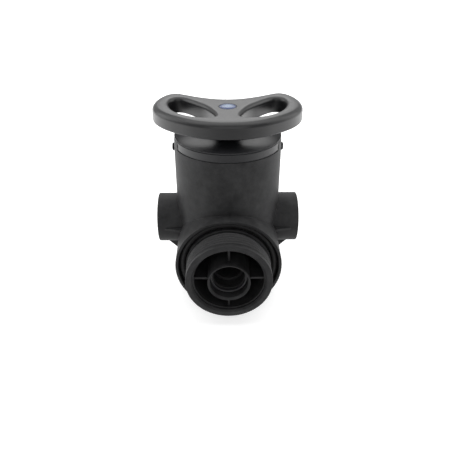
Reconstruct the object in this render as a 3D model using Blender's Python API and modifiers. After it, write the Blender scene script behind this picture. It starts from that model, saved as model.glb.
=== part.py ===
"""Side-mount manual multiport valve for a water filter tank.

Frame: +Z up along the valve stem, origin at the centre of the body's flat
bottom face.  The threaded tank neck points along -Y, the inlet port along
-X, the outlet port along +X and the drain port along +Y.
Lengths below are in millimetres and are scaled to metres by MM.
"""
import bpy
import bmesh
from math import pi, sin, cos, radians, hypot
from mathutils import Vector, Matrix

MM = 0.001
FIT = 0.3                     # clearance between neighbouring pieces

# ---- body ------------------------------------------------------------
BODY_R = 46.0                 # outer radius of the upright cylinder
BODY_BORE = 41.0              # chamber bore
BODY_TOP = 140.7              # rim that the bonnet rests on
FLOOR_T = 5.0
PAD_R = 45.85                 # pads that fill the notches of the bonnet
PAD_HALF = 26.5               # half angle of a pad, degrees
PAD_Z0, PAD_Z1 = 139.2, 147.9
LOCK_Z = 136.7                # height of the lock screws

# ---- tank neck (2.5 in, 8 turns per inch) ------------------------------
NECK_Z = 48.0
NECK_R = 36.2                 # thread crest
NECK_ROOT = 34.3
NECK_END = 76.9               # distance of the rim from the stem axis
THREAD_PITCH = 25.4 / 8
THREAD_FIRST = 56.9           # first crest
THREAD_TURNS = 5
SKIRT_R = 45.8
SKIRT_END = 55.1
SKIRT_IN = 43.2
SEAT_S = 47.0                 # floor of the O-ring recess
COLLAR_R = 36.8
COLLAR_END = 54.4
BORE_R = 29.3
RIB_END = 70.4
RIB_T = 1.8
SOCKET_R = 17.8               # riser socket
SOCKET_END = 78.0
SOCKET_BORE = 15.8
SOCKET_SEAT = 64.0
PIPE_BORE = 13.8
PIPE_STOP = 54.8
PIPE_THRU = 12.0

# ---- ports (1 in female) ------------------------------------------------
PORT_Z = 66.4
PORT_R = 22.4
PORT_END = 63.35
PORT_MINOR = 15.2
PORT_MOUTH = 16.9

# ---- disc stack -----------------------------------------------------------
DECK_Z0, DECK_Z1 = 96.0, 101.0
RING_IN, RING_OUT, RING_TOP = 30.8, 33.2, 107.0
GASKET_Z0, GASKET_Z1 = 101.3, 102.5
FIXED_Z0, FIXED_Z1, DISC_R = 102.8, 108.8, 30.4
MOVE_Z0, MOVE_Z1, MOVE_R = 109.1, 114.6, 29.5
CARRIER_Z0, CARRIER_Z1, CARRIER_R = 116.2, 122.2, 28.8
SHAFT_R = 9.7
BONNET_BORE = 10.0

# ---- bonnet ---------------------------------------------------------------
SEAM_Z = 148.2
SKIRT_BAND_R = 45.5
PLUG_R = 40.7
PLUG_Z0 = 125.6
HUB_Z0 = 124.3
DOME_Z = SEAM_Z - 0.1 + 5.3
DOME_R0, DOME_RISE = 16.0, 5.3  # flat middle and height of the crown
BALL_R = 3.0
BALL_RADIUS_AT = 24.0
BALL_Z = 125.5                # ball centre with the ball on the carrier face
DIMPLE_DEPTH = 0.8

# ---- handle ---------------------------------------------------------------
HANDLE_Z0, HANDLE_Z1 = 157.6, 172.3
HANDLE_SCALE = 1.0185         # outlines below are drawn for a 124.8 mm bow
HANDLE_EDGE = 2.4
SQUARE = 12.0
SQUARE_TOP = 161.7
BADGE_R = 7.2

SEG = 40


# ------------------------------------------------------------------ helpers
for ob in list(bpy.data.objects):
    bpy.data.objects.remove(ob, do_unlink=True)

scene = bpy.context.scene
parts = bpy.data.collections.new("multiport_valve")
tools = bpy.data.collections.new("cutters")
scene.collection.children.link(parts)
scene.collection.children.link(tools)


def material(name, colour, rough, metal=0.0):
    mat = bpy.data.materials.new(name)
    mat.use_nodes = True
    bsdf = mat.node_tree.nodes["Principled BSDF"]
    bsdf.inputs["Base Color"].default_value = (*colour, 1.0)
    bsdf.inputs["Roughness"].default_value = rough
    bsdf.inputs["Metallic"].default_value = metal
    return mat


def link(obj, tool=False):
    (tools if tool else parts).objects.link(obj)
    if tool:
        obj.hide_render = True
        obj.display_type = 'WIRE'
    return obj


def place(obj, axis='Z', at=(0, 0, 0), turn=0.0):
    """Point the object's own +Z along the given world axis."""
    spin = {'Z': Matrix.Identity(4),
            '-Z': Matrix.Rotation(pi, 4, 'X'),
            '-Y': Matrix.Rotation(pi / 2, 4, 'X'),
            'Y': Matrix.Rotation(-pi / 2, 4, 'X'),
            'X': Matrix.Rotation(pi / 2, 4, 'Y'),
            '-X': Matrix.Rotation(-pi / 2, 4, 'Y')}[axis]
    obj.matrix_world = (Matrix.Translation(Vector(at) * MM) @ spin
                        @ Matrix.Rotation(turn, 4, 'Z'))
    return obj


def lathe(name, profile, seg=SEG, tool=False, mat=None):
    """Turned shape: (radius, height) points, turned about the own Z axis."""
    area = sum(a[0] * b[1] - b[0] * a[1]
               for a, b in zip(profile, profile[1:] + profile[:1]))
    if area > 0:                        # outer side has to run downwards
        profile = profile[::-1]
    closed = min(r for r, z in profile) > 1e-6
    if not closed:                      # start and end on the axis
        while not (profile[0][0] < 1e-6 and profile[-1][0] < 1e-6):
            profile = profile[1:] + profile[:1]
    bm = bmesh.new()
    verts = [bm.verts.new((r * MM, 0.0, z * MM)) for r, z in profile]
    for a, b in zip(verts, verts[1:]):
        bm.edges.new((a, b))
    if closed:
        bm.edges.new((verts[-1], verts[0]))
    mesh = bpy.data.meshes.new(name)
    bm.to_mesh(mesh)
    bm.free()
    obj = link(bpy.data.objects.new(name, mesh), tool)
    screw = obj.modifiers.new("turn", 'SCREW')
    screw.steps = seg
    screw.render_steps = seg
    screw.use_merge_vertices = True
    screw.merge_threshold = 0.00001
    screw.use_smooth_shade = True
    if mat:
        mesh.materials.append(mat)
    return obj


def cylinder(name, r, z0, z1, seg=SEG, tool=False, mat=None):
    return lathe(name, [(0, z1), (r, z1), (r, z0), (0, z0)], seg, tool, mat)


def block(name, size, centre, tool=False, mat=None, turn=0.0):
    bm = bmesh.new()
    bmesh.ops.create_cube(bm, size=1.0)
    bmesh.ops.scale(bm, vec=Vector(size) * MM, verts=bm.verts)
    mesh = bpy.data.meshes.new(name)
    bm.to_mesh(mesh)
    bm.free()
    obj = link(bpy.data.objects.new(name, mesh), tool)
    obj.location = Vector(centre) * MM
    obj.rotation_euler = (0, 0, turn)
    if mat:
        mesh.materials.append(mat)
    return obj


def plate(name, outline, z0, z1, tool=False, mat=None, bevel=0.0, res=2):
    """Flat outline with thickness: a filled 2D curve, extruded both ways."""
    curve = bpy.data.curves.new(name, 'CURVE')
    curve.dimensions = '2D'
    curve.fill_mode = 'BOTH'
    spline = curve.splines.new('POLY')
    spline.points.add(len(outline) - 1)
    for p, (x, y) in zip(spline.points, outline):
        p.co = (x * MM, y * MM, 0.0, 1.0)
    spline.use_cyclic_u = True
    curve.extrude = ((z1 - z0) / 2 - bevel) * MM
    if bevel:
        curve.bevel_depth = bevel * MM
        curve.bevel_resolution = res
        curve.offset = -bevel * MM
    tmp = bpy.data.objects.new(name + "_outline", curve)
    link(tmp, True)
    tmp.location = (0, 0, (z0 + z1) / 2 * MM)
    bpy.context.view_layer.update()
    mesh = bpy.data.meshes.new_from_object(
        tmp.evaluated_get(bpy.context.evaluated_depsgraph_get()))
    bm = bmesh.new()
    bm.from_mesh(mesh)
    bmesh.ops.remove_doubles(bm, verts=bm.verts, dist=0.000002)
    bmesh.ops.recalc_face_normals(bm, faces=bm.faces)
    bm.to_mesh(mesh)
    bm.free()
    obj = bpy.data.objects.new(name, mesh)
    obj.matrix_world = tmp.matrix_world
    bpy.data.objects.remove(tmp, do_unlink=True)
    link(obj, tool)
    mesh.materials.clear()
    if mat:
        mesh.materials.append(mat)
    return obj


def sector(name, r0, r1, a0, a1, z0, z1, steps=8, tool=True):
    """Ring sector between two angles (degrees from +X)."""
    steps = min(steps, max(3, int((a1 - a0) / 9)))
    arc = [radians(a0 + (a1 - a0) * i / steps) for i in range(steps + 1)]
    outline = ([(r1 * cos(t), r1 * sin(t)) for t in arc]
               + [(r0 * cos(t), r0 * sin(t)) for t in reversed(arc)])
    return plate(name, outline, z0, z1, tool)


def boolean(obj, other, how):
    mod = obj.modifiers.new(other.name, 'BOOLEAN')
    mod.object = other
    mod.operation = how
    mod.solver = 'EXACT'
    weld = obj.modifiers.new("weld", 'WELD')
    weld.merge_threshold = 0.000003
    return obj


def cut(obj, *others):
    for other in others:
        boolean(obj, other, 'DIFFERENCE')


def join(obj, *others):
    for other in others:
        boolean(obj, other, 'UNION')


def smooth(obj, angle=35):
    obj.data.shade_smooth()
    obj.data.set_sharp_from_angle(angle=radians(angle))


def ring(name, major, minor, at, axis='Z', seg=48, tube=10, mat=None):
    """O-ring: a circle of radius minor turned at radius major."""
    profile = [(major + minor * cos(2 * pi * i / tube),
                minor * sin(2 * pi * i / tube)) for i in range(tube)]
    return place(lathe(name, profile, seg, mat=mat), axis, at)


# ---------------------------------------------------------------- materials
M_BODY = material("glass_filled_body_plastic", (0.020, 0.020, 0.021), 0.62)
M_BONNET = material("bonnet_plastic", (0.022, 0.022, 0.024), 0.36)
M_HANDLE = material("handle_plastic", (0.024, 0.024, 0.025), 0.44)
M_SCREW = material("black_screw_steel", (0.015, 0.015, 0.016), 0.35, 1.0)
M_STEEL = material("stainless_steel", (0.62, 0.62, 0.63), 0.28, 1.0)
M_BADGE = material("blank_badge_enamel", (0.42, 0.60, 0.86), 0.10)
M_STEM = material("stem_plastic", (0.030, 0.030, 0.032), 0.45)
M_RUBBER = material("seal_rubber", (0.014, 0.014, 0.014), 0.75)
M_BLUE = material("blue_acetal", (0.020, 0.055, 0.20), 0.40)
M_WASHER = material("white_acetal", (0.80, 0.80, 0.77), 0.40)
M_CERAMIC = material("disc_ceramic", (0.86, 0.84, 0.78), 0.18)
M_BRASS = material("spring_steel", (0.55, 0.55, 0.56), 0.30, 1.0)

# --------------------------------------------------------------- valve body
body = lathe("valve_body", [(0, BODY_TOP), (BODY_R - 0.5, BODY_TOP),
                            (BODY_R, BODY_TOP - 0.5), (BODY_R, 1.5),
                            (BODY_R - 1.5, 0), (0, 0)], seg=48, mat=M_BODY)

# pads on both sides, standing up in the notches of the bonnet skirt
pads = [sector("pad_left", 39.0, PAD_R, 180 - PAD_HALF, 180 + PAD_HALF,
               PAD_Z0, PAD_Z1),
        sector("pad_right", 39.0, PAD_R, -PAD_HALF, PAD_HALF,
               PAD_Z0, PAD_Z1)]

# neck boss: skirt, O-ring recess, collar, thread crests and rim
neck = [(0, NECK_END), (NECK_R - 0.6, NECK_END), (NECK_R, NECK_END - 0.6),
        (NECK_R, 73.2),
        (NECK_ROOT, THREAD_FIRST + (THREAD_TURNS - 0.5) * THREAD_PITCH)]
for i in reversed(range(THREAD_TURNS)):
    crest = THREAD_FIRST + i * THREAD_PITCH
    neck += [(NECK_R, crest), (NECK_ROOT, crest - THREAD_PITCH / 2)]
neck += [(NECK_ROOT, COLLAR_END), (COLLAR_R, COLLAR_END),
         (COLLAR_R, SEAT_S), (SKIRT_IN, SEAT_S), (SKIRT_IN, SKIRT_END),
         (SKIRT_R - 0.4, SKIRT_END), (SKIRT_R, SKIRT_END - 0.4),
         (SKIRT_R, 12.0), (0, 12.0)]
neck_boss = place(lathe("neck_boss", neck, seg=44, tool=True),
                  '-Y', (0, 0, NECK_Z))

inlet_boss = place(cylinder("inlet_boss", PORT_R, 30.0, PORT_END, 28, True),
                   '-X', (0, 0, PORT_Z))
outlet_boss = place(cylinder("outlet_boss", PORT_R, 30.0, PORT_END, 28, True),
                    'X', (0, 0, PORT_Z))
drain_boss = place(cylinder("drain_boss", PORT_R, 30.0, PORT_END, 28, True),
                   'Y', (0, 0, PORT_Z))

# stiffening gussets between the side ports and the body
gussets = []
for side, tag in ((-1, "left"), (1, "right")):
    fin = plate("front_gusset_" + tag,
                [(side * 56.5, -21.0), (side * 56.5, -22.6),
                 (side * 38.0, -27.4), (side * 38.0, -21.0)],
                PORT_Z - 0.9, PORT_Z + 0.9, True)
    web = plate("lower_gusset_" + tag,
                [(side * 63.0, 15.0), (side * 63.0, 23.7),
                 (side * 46.0, 39.2), (side * 42.0, 39.2),
                 (side * 42.0, 15.0)],
                -1.1, 1.1, True)
    # turned so that the outline's second axis hangs below the port
    web.matrix_world = (Matrix.Translation(Vector((0, 0, PORT_Z)) * MM)
                        @ Matrix.Rotation(-pi / 2, 4, 'X'))
    gussets += [fin, web]

join(body, *pads, neck_boss, inlet_boss, outlet_boss, drain_boss, *gussets)

# main chamber, open at the top
cut(body, cylinder("chamber_bore", BODY_BORE, FLOOR_T, 152.0, 48, True))

# neck bore with its stepped lead-in
cut(body, place(lathe("neck_bore", [
    (0, 79.5), (34.4, 79.5), (31.8, 76.9), (30.3, 75.2), (30.3, 73.2),
    (BORE_R, 73.2), (BORE_R, 33.0), (0, 33.0)], 40, True),
    '-Y', (0, 0, NECK_Z)))

# female ports: lead-in chamfer, thread length, reduced waterway
port_profile = [(0, 66.0), (19.55, 66.0), (PORT_MOUTH, PORT_END - 0.05),
                (PORT_MINOR, 61.6), (PORT_MINOR, 36.0), (0, 36.0)]
cut(body,
    place(lathe("inlet_bore", port_profile, 26, True), '-X', (0, 0, PORT_Z)),
    place(lathe("outlet_bore", port_profile, 26, True), 'X', (0, 0, PORT_Z)),
    place(lathe("drain_bore", port_profile, 26, True), 'Y', (0, 0, PORT_Z)))

# inside: deck under the discs, four passage walls, riser socket and elbow
deck = lathe("deck", [(0, DECK_Z1), (RING_IN, DECK_Z1), (RING_IN, RING_TOP),
                      (RING_OUT, RING_TOP), (RING_OUT, DECK_Z1),
                      (42.5, DECK_Z1), (42.5, DECK_Z0), (0, DECK_Z0)],
             40, True)
wall_a = block("wall_a", (85.0, 3.0, 92.5), (0, 0, 50.5), True, turn=pi / 4)
wall_b = block("wall_b", (85.0, 3.0, 92.5), (0, 0, 50.5), True, turn=-pi / 4)
elbow = place(cylinder("elbow_pipe", 14.2, 36.0, 98.5, 20, True), turn=0.1)
socket = place(cylinder("riser_socket", SOCKET_R, -6.0, SOCKET_END, 32, True),
               '-Y', (0, 0, NECK_Z))
rib_len = 2 * (BORE_R + 0.6)
rib_depth = RIB_END - 39.0
rib_mid = -(RIB_END + 39.0) / 2
rib_flat = block("rib_flat", (rib_len, rib_depth, RIB_T),
                 (0, rib_mid, NECK_Z), True)
rib_upright = block("rib_upright", (RIB_T, rib_depth, rib_len),
                    (0, rib_mid, NECK_Z), True)
join(body, deck, wall_a, wall_b, elbow, socket, rib_flat, rib_upright)

# riser waterway: socket, O-ring seat, pipe stop, elbow up to the deck
cut(body, place(lathe("riser_bore", [
    (0, 79.5), (18.2, 79.5), (16.6, SOCKET_END - 0.02), (SOCKET_BORE, 77.0),
    (SOCKET_BORE, SOCKET_SEAT), (PIPE_BORE, SOCKET_SEAT),
    (PIPE_BORE, PIPE_STOP), (PIPE_THRU, PIPE_STOP), (PIPE_THRU, -3.0),
    (0, -3.0)], 32, True), '-Y', (0, 0, NECK_Z)))
cut(body, place(cylinder("elbow_bore", 10.5, NECK_Z - 5.0, 103.0, 20, True),
                turn=0.17))

# waterway windows through the deck
cut(body,
    sector("window_tank", 15.0, 27.5, 235, 305, 94.0, 103.0),
    sector("window_outlet", 15.0, 27.5, -25, 25, 94.0, 103.0),
    sector("window_drain", 15.0, 27.5, 65, 115, 94.0, 103.0),
    sector("window_inlet", 34.6, 40.2, 146, 214, 94.0, 103.0))

# clearance holes for the two lock screws
for side, tag in (('-X', "left"), ('X', "right")):
    cut(body, place(cylinder("lock_hole_" + tag, 2.6, 36.0, 50.0, 16, True),
                    side, (0, 0, LOCK_Z)))

# ------------------------------------------------------------------- bonnet
dome = [(BONNET_BORE, DOME_Z)]
for s in (0.0, 0.40, 0.62, 0.76, 0.87, 0.95, 0.99):     # crown, steeper outwards
    dome.append((DOME_R0 + (BODY_R - 0.1 - DOME_R0) * s,
                 DOME_Z - DOME_RISE * s ** 4))
dome += [(BODY_R - 0.1, SEAM_Z), (SKIRT_BAND_R, SEAM_Z - 0.3),
         (SKIRT_BAND_R, BODY_TOP + FIT), (PLUG_R, BODY_TOP + FIT),
         (PLUG_R, 132.6), (37.0, 132.6), (37.0, 128.4), (PLUG_R, 128.4),
         (PLUG_R, PLUG_Z0 + 0.8), (PLUG_R - 0.8, PLUG_Z0), (34.2, PLUG_Z0),
         (34.2, 147.0), (16.5, 147.0), (16.5, HUB_Z0), (BONNET_BORE, HUB_Z0)]
bonnet = lathe("bonnet", dome, seg=48, mat=M_BONNET)
ribs = [block("bonnet_rib_a", (70.0, 2.4, 18.0), (0, 0, 139.5), True,
              turn=radians(30)),
        block("bonnet_rib_b", (70.0, 2.4, 18.0), (0, 0, 139.5), True,
              turn=radians(90)),
        block("bonnet_rib_c", (70.0, 2.4, 18.0), (0, 0, 139.5), True,
              turn=radians(150))]
detent_boss = [cylinder("detent_boss_" + tag, 5.4, PLUG_Z0, 148.0, 24, True)
               for tag in ("left", "right")]
detent_boss[0].location.x = -BALL_RADIUS_AT * MM
detent_boss[1].location.x = BALL_RADIUS_AT * MM
join(bonnet, *ribs, *detent_boss)
for side, tag in ((-1, "left"), (1, "right")):
    pocket = cylinder("detent_pocket_" + tag, BALL_R + 0.35, 123.0, 140.0,
                      24, True)
    pocket.location.x = side * BALL_RADIUS_AT * MM
    cut(bonnet, pocket)
    cut(bonnet, sector("pad_notch_" + tag, PLUG_R + 0.15, 47.5,
                       (90 - side * 90) - PAD_HALF - 0.5,
                       (90 - side * 90) + PAD_HALF + 0.5,
                       BODY_TOP - 1.0, SEAM_Z + 0.1, 12))
    cut(bonnet, place(cylinder("lock_thread_" + tag, 2.6, 35.0, 44.0, 16,
                               True), 'X' if side > 0 else '-X',
                      (0, 0, LOCK_Z)))
# stop rails under the bonnet, one on each side of the carrier's lug
LUG_R0, LUG_R1, LUG_HALF, TRAVEL = 26.0, 33.4, 3.5, 60.0
cut(bonnet, cylinder("shaft_bore_clean", BONNET_BORE, 120.0, 160.0, 48, True))
for side, tag in ((-1, "low"), (1, "high")):
    mid = 90 + side * (TRAVEL + LUG_HALF + 3.7)
    join(bonnet, sector("stop_rail_" + tag, 30.6, 35.4, mid - 3.0, mid + 3.0,
                        118.4, 126.5, 3))

ring("bonnet_oring", 39.0, 1.75, (0, 0, 130.5), seg=36, tube=6, mat=M_RUBBER)

# --------------------------------------------------------- lock screws
for side, axis, tag in ((-1, '-X', "left"), (1, 'X', "right")):
    screw = place(lathe("lock_screw_" + tag, [
        (0, 47.7), (2.5, 47.7), (3.2, 47.3), (3.4, 46.4), (2.3, 46.4),
        (2.3, 38.6), (1.7, 38.0), (0, 38.0)], 18, mat=M_SCREW), axis,
        (0, 0, LOCK_Z))
    hexagon = [(1.5 * cos(radians(60 * i)), 1.5 * sin(radians(60 * i)))
               for i in range(6)]
    key = plate("lock_key_" + tag, hexagon, 46.0, 49.5, True)
    key.matrix_world = screw.matrix_world @ Matrix.Translation(
        (0, 0, 47.75 * MM))
    cut(screw, key)

# --------------------------------------------------------------- stem
stem = lathe("stem", [
    (0, SQUARE_TOP - 7.9), (SHAFT_R, SQUARE_TOP - 7.9),
    (SHAFT_R, 142.2), (7.2, 142.2), (7.2, 139.2), (SHAFT_R, 139.2),
    (SHAFT_R, 134.4), (7.2, 134.4), (7.2, 131.4), (SHAFT_R, 131.4),
    (SHAFT_R, CARRIER_Z1), (CARRIER_R, CARRIER_Z1),
    (CARRIER_R, CARRIER_Z0), (0, CARRIER_Z0)], 28, mat=M_STEM)
square = block("stem_square", (SQUARE, SQUARE, 10.0),
               (0, 0, SQUARE_TOP - 5.0), True)
lug = sector("stop_lug", LUG_R0, LUG_R1, 90 - LUG_HALF, 90 + LUG_HALF,
             117.6, 121.6, 3)
tangs = [sector("drive_tang_%d" % i, 22.5, 27.3, a - 6, a + 6, 112.2, 117.0,
                3) for i, a in enumerate((30, 150, 270 - 55))]
join(stem, square, lug, *tangs)
for i in range(6):
    dimple_mesh = bpy.data.meshes.new("dimple_%d" % i)
    bm = bmesh.new()
    bmesh.ops.create_uvsphere(bm, u_segments=12, v_segments=8,
                              radius=(BALL_R + 0.4) * MM)
    bm.to_mesh(dimple_mesh)
    bm.free()
    dimple = link(bpy.data.objects.new("dimple_%d" % i, dimple_mesh), True)
    a = radians(60 * i)
    dimple.location = (BALL_RADIUS_AT * cos(a) * MM,
                       BALL_RADIUS_AT * sin(a) * MM,
                       (BALL_Z - DIMPLE_DEPTH) * MM)
    cut(stem, dimple)
cut(stem, sector("carrier_window", 12.5, 31.0, 252, 288, 115.0, 121.9 + 1.0))
cut(stem, cylinder("handle_screw_thread", 2.8, 144.0, 163.0, 20, True))

ring("stem_oring_lower", 8.5, 1.15, (0, 0, 132.9), seg=20, tube=6, mat=M_RUBBER)
ring("stem_oring_upper", 8.5, 1.15, (0, 0, 140.7), seg=20, tube=6, mat=M_RUBBER)
lathe("thrust_washer", [(10.1, 124.0), (16.2, 124.0), (16.2, 122.5),
                        (10.1, 122.5)], 28, mat=M_WASHER)
lathe("hub_washer", [(10.1, 156.2), (11.6, 156.2), (12.6, 155.4),
                     (12.6, DOME_Z + FIT), (10.1, DOME_Z + FIT)], 28, mat=M_BLUE)

# --------------------------------------------------------------- discs
moving = cylinder("moving_disc", MOVE_R, MOVE_Z0, MOVE_Z1, 32,
                  mat=M_CERAMIC)
cut(moving, sector("disc_inlet", 15.0, 27.0, 254, 286, 108.0, 116.0))
cut(moving, sector("disc_channel", 15.0, 27.5, -25, 25, 108.0, 112.0))
cut(moving, cylinder("disc_riser", 10.0, 108.0, 112.0, 32, True))
cut(moving, block("disc_link", (12.0, 12.0, 4.0), (13.0, 0, 110.0), True))
for i, a in enumerate((30, 150, 270 - 55)):
    cut(moving, sector("tang_slot_%d" % i, 22.0, 27.8, a - 7, a + 7, 111.8,
                       116.0, 3))
lathe("moving_disc_seal", [(17.4, 115.9), (20.4, 115.9), (20.4, 114.9),
                           (17.4, 114.9)], 28, mat=M_RUBBER)
seal = bpy.data.objects["moving_disc_seal"]
cut(seal, sector("seal_gap", 15.0, 23.0, 250, 290, 114.0, 117.0))


def ported_disc(name, radius, z0, z1, mat):
    disc = cylinder(name, radius, z0, z1, 32, mat=mat)
    cut(disc, sector(name + "_tank", 15.0, 27.5, 235, 305, z0 - 1, z1 + 1),
        sector(name + "_outlet", 15.0, 27.5, -25, 25, z0 - 1, z1 + 1),
        sector(name + "_drain", 15.0, 27.5, 65, 115, z0 - 1, z1 + 1),
        cylinder(name + "_riser", 10.5, z0 - 1, z1 + 1, 20, True))
    return disc


ported_disc("fixed_disc", DISC_R, FIXED_Z0, FIXED_Z1, M_CERAMIC)
ported_disc("fixed_disc_seal", DISC_R - 0.2, GASKET_Z0, GASKET_Z1, M_RUBBER)

# --------------------------------------------------------------- detents
for side, tag in ((-1, "left"), (1, "right")):
    bm = bmesh.new()
    bmesh.ops.create_uvsphere(bm, u_segments=16, v_segments=8,
                              radius=BALL_R * MM)
    mesh = bpy.data.meshes.new("detent_ball_" + tag)
    bm.to_mesh(mesh)
    bm.free()
    mesh.materials.append(M_STEEL)
    ball = link(bpy.data.objects.new("detent_ball_" + tag, mesh))
    ball.location = (side * BALL_RADIUS_AT * MM, 0, BALL_Z * MM)
    smooth(ball, 60)

    curve = bpy.data.curves.new("detent_spring_" + tag, 'CURVE')
    curve.dimensions = '3D'
    turns, per = 4.0, 9
    count = int(turns * per) + 1
    spline = curve.splines.new('POLY')
    spline.points.add(count - 1)
    for i, p in enumerate(spline.points):
        t = i / (count - 1)
        a = 2 * pi * turns * t
        p.co = (2.3 * cos(a) * MM, 2.3 * sin(a) * MM,
                (129.4 + 9.7 * t) * MM, 1.0)
    curve.bevel_depth = 0.36 * MM
    curve.bevel_resolution = 1
    curve.use_fill_caps = True
    coil = link(bpy.data.objects.new("detent_spring_" + tag, curve))
    coil.location.x = side * BALL_RADIUS_AT * MM
    curve.materials.append(M_BRASS)

# --------------------------------------------------------------- neck seals
ring("neck_oring", 39.75, 2.6, (0, -49.95, NECK_Z), '-Y', 40, 8, M_RUBBER)
ring("riser_oring", 14.25, 1.3, (0, -(SOCKET_SEAT + 1.7), NECK_Z), '-Y', 28,
     6, M_RUBBER)
place(lathe("riser_retaining_ring", [
    (13.8, 70.4), (15.2, 70.4), (15.5, 70.1), (15.5, 67.5), (13.8, 67.5)],
    40, mat=M_STEM), '-Y', (0, 0, NECK_Z))

# --------------------------------------------------------------- handle
# half outlines seen from above; mirrored about the front-back plane
OUTER = [(0, -40.3), (7.5, -40.0), (15, -38.7), (22.5, -36.2), (30, -32.7),
         (37.5, -27.9), (44.5, -22.6), (50.5, -16.9), (55.6, -10.4),
         (59.6, -3.0), (61.9, 5.5), (62.4, 14.5), (61.3, 23.5), (58.7, 31.5),
         (54.2, 38.2), (47.8, 41.9), (41.2, 41.0), (33.6, 36.8),
         (25.0, 31.6), (16.2, 27.5), (8.0, 25.0), (0, 24.2)]
HOLE = [(9.2, -20.2), (11.2, -22.6), (15.0, -23.5), (22.5, -22.6),
        (30.6, -19.8), (38.6, -13.9), (45.0, -5.6), (49.3, 4.6),
        (50.9, 13.2), (49.6, 20.4), (45.8, 24.4), (41.0, 24.6),
        (36.6, 22.0), (31.4, 17.0), (25.6, 11.0), (20.0, 4.8),
        (15.2, -2.2), (11.4, -10.2), (9.2, -16.6)]


def rounded(points, per=2):
    """Closed smooth curve through the points (Catmull-Rom)."""
    n = len(points)
    out = []
    for i in range(n):
        p0, p1, p2, p3 = (Vector(points[(i + k - 1) % n]) for k in range(4))
        for j in range(per):
            t = j / per
            out.append(tuple(0.5 * (2 * p1 + (p2 - p0) * t
                                    + (2 * p0 - 5 * p1 + 4 * p2 - p3) * t * t
                                    + (3 * p1 - p0 - 3 * p2 + p3) * t ** 3)))
    return out


OUTER = [(x * HANDLE_SCALE, y * HANDLE_SCALE) for x, y in OUTER]
HOLE = [(x * HANDLE_SCALE, y * HANDLE_SCALE) for x, y in HOLE]
full = OUTER + [(-x, y) for x, y in reversed(OUTER[1:-1])]
handle = plate("handle", rounded(full, 2), HANDLE_Z0, HANDLE_Z1, mat=M_HANDLE,
               bevel=HANDLE_EDGE, res=0)
boss = cylinder("handle_boss", 11.6, 156.5, 160.0, 40, True)
join(handle, boss)
right_hole = plate("finger_hole_right", rounded(HOLE, 1), 150.0, 175.0, True)
left_hole = plate("finger_hole_left",
                  [(-x, y) for x, y in reversed(rounded(HOLE, 1))],
                  150.0, 175.0, True)
cut(handle, right_hole, left_hole)
cut(handle, block("square_socket", (SQUARE + 0.6, SQUARE + 0.6, 12.0),
                  (0, 0, 162.0 - 6.0), True))
cut(handle, lathe("badge_socket", [
    (0, 175.0), (7.5, 175.0), (7.5, HANDLE_Z1 - 1.7),
    (5.6, HANDLE_Z1 - 1.7), (5.6, 164.6),
    (2.8, 164.6), (2.8, 160.0), (0, 160.0)], 40, True))

lathe("handle_screw_washer", [(2.8, 165.7), (5.2, 165.7), (5.2, 164.9),
                              (2.8, 164.9)], 28, mat=M_STEEL)
hs = lathe("handle_screw", [(0, 168.4), (3.2, 168.4), (4.2, 167.6),
                            (4.5, 166.0), (2.5, 166.0), (2.5, 148.6),
                            (1.9, 148.0), (0, 148.0)], 20, mat=M_STEEL)
cut(hs, block("cross_slot_a", (5.0, 1.1, 3.0), (0, 0, 168.6), True),
    block("cross_slot_b", (1.1, 5.0, 3.0), (0, 0, 168.6), True))
lathe("handle_badge", [(r, HANDLE_Z1 + h) for r, h in (
    (0, 0.8), (2.6, 0.7), (4.8, 0.45), (6.4, 0.0), (BADGE_R, -0.5),
    (BADGE_R, -1.4), (0, -1.4))], 40, mat=M_BADGE)

# the rotating pieces turn about the stem axis, which is this empty's Z
rotor = bpy.data.objects.new("stem_axis", None)
parts.objects.link(rotor)
for name in ("handle", "handle_screw", "handle_screw_washer", "handle_badge",
             "stem", "stem_oring_upper", "stem_oring_lower", "moving_disc",
             "moving_disc_seal"):
    bpy.data.objects[name].parent = rotor
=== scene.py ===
from math import pi, sin, cos, radians, sqrt
import bpy
import bmesh
import numpy as np
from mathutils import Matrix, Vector


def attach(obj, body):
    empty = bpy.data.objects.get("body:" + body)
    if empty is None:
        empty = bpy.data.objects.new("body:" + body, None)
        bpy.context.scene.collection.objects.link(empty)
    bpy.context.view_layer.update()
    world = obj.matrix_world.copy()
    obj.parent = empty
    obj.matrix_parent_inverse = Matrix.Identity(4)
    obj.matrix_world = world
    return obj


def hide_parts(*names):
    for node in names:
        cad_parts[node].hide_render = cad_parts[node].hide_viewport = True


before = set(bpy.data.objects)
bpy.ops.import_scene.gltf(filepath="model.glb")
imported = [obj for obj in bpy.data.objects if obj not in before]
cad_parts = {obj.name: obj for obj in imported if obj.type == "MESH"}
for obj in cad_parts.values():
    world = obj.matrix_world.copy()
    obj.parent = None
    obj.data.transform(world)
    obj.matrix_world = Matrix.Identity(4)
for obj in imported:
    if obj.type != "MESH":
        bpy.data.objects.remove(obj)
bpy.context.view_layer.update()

MM = 0.001
VALVE, ROTOR = "valve", "rotor"

# ------------------------------------------------------------------ helpers
AXES = {
    'Z': ((1, 0, 0), (0, 1, 0), (0, 0, 1)),
    'X': ((0, 1, 0), (0, 0, 1), (1, 0, 0)),
    '-X': ((0, -1, 0), (0, 0, 1), (-1, 0, 0)),
    'Y': ((-1, 0, 0), (0, 0, 1), (0, 1, 0)),
    '-Y': ((1, 0, 0), (0, 0, 1), (0, -1, 0)),
}
NECK = ('-Y', (0, 0, 48.0))
PORTS = {"inlet": ('-X', (0, 0, 66.4)), "outlet": ('X', (0, 0, 66.4)),
         "drain": ('Y', (0, 0, 66.4))}


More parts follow.
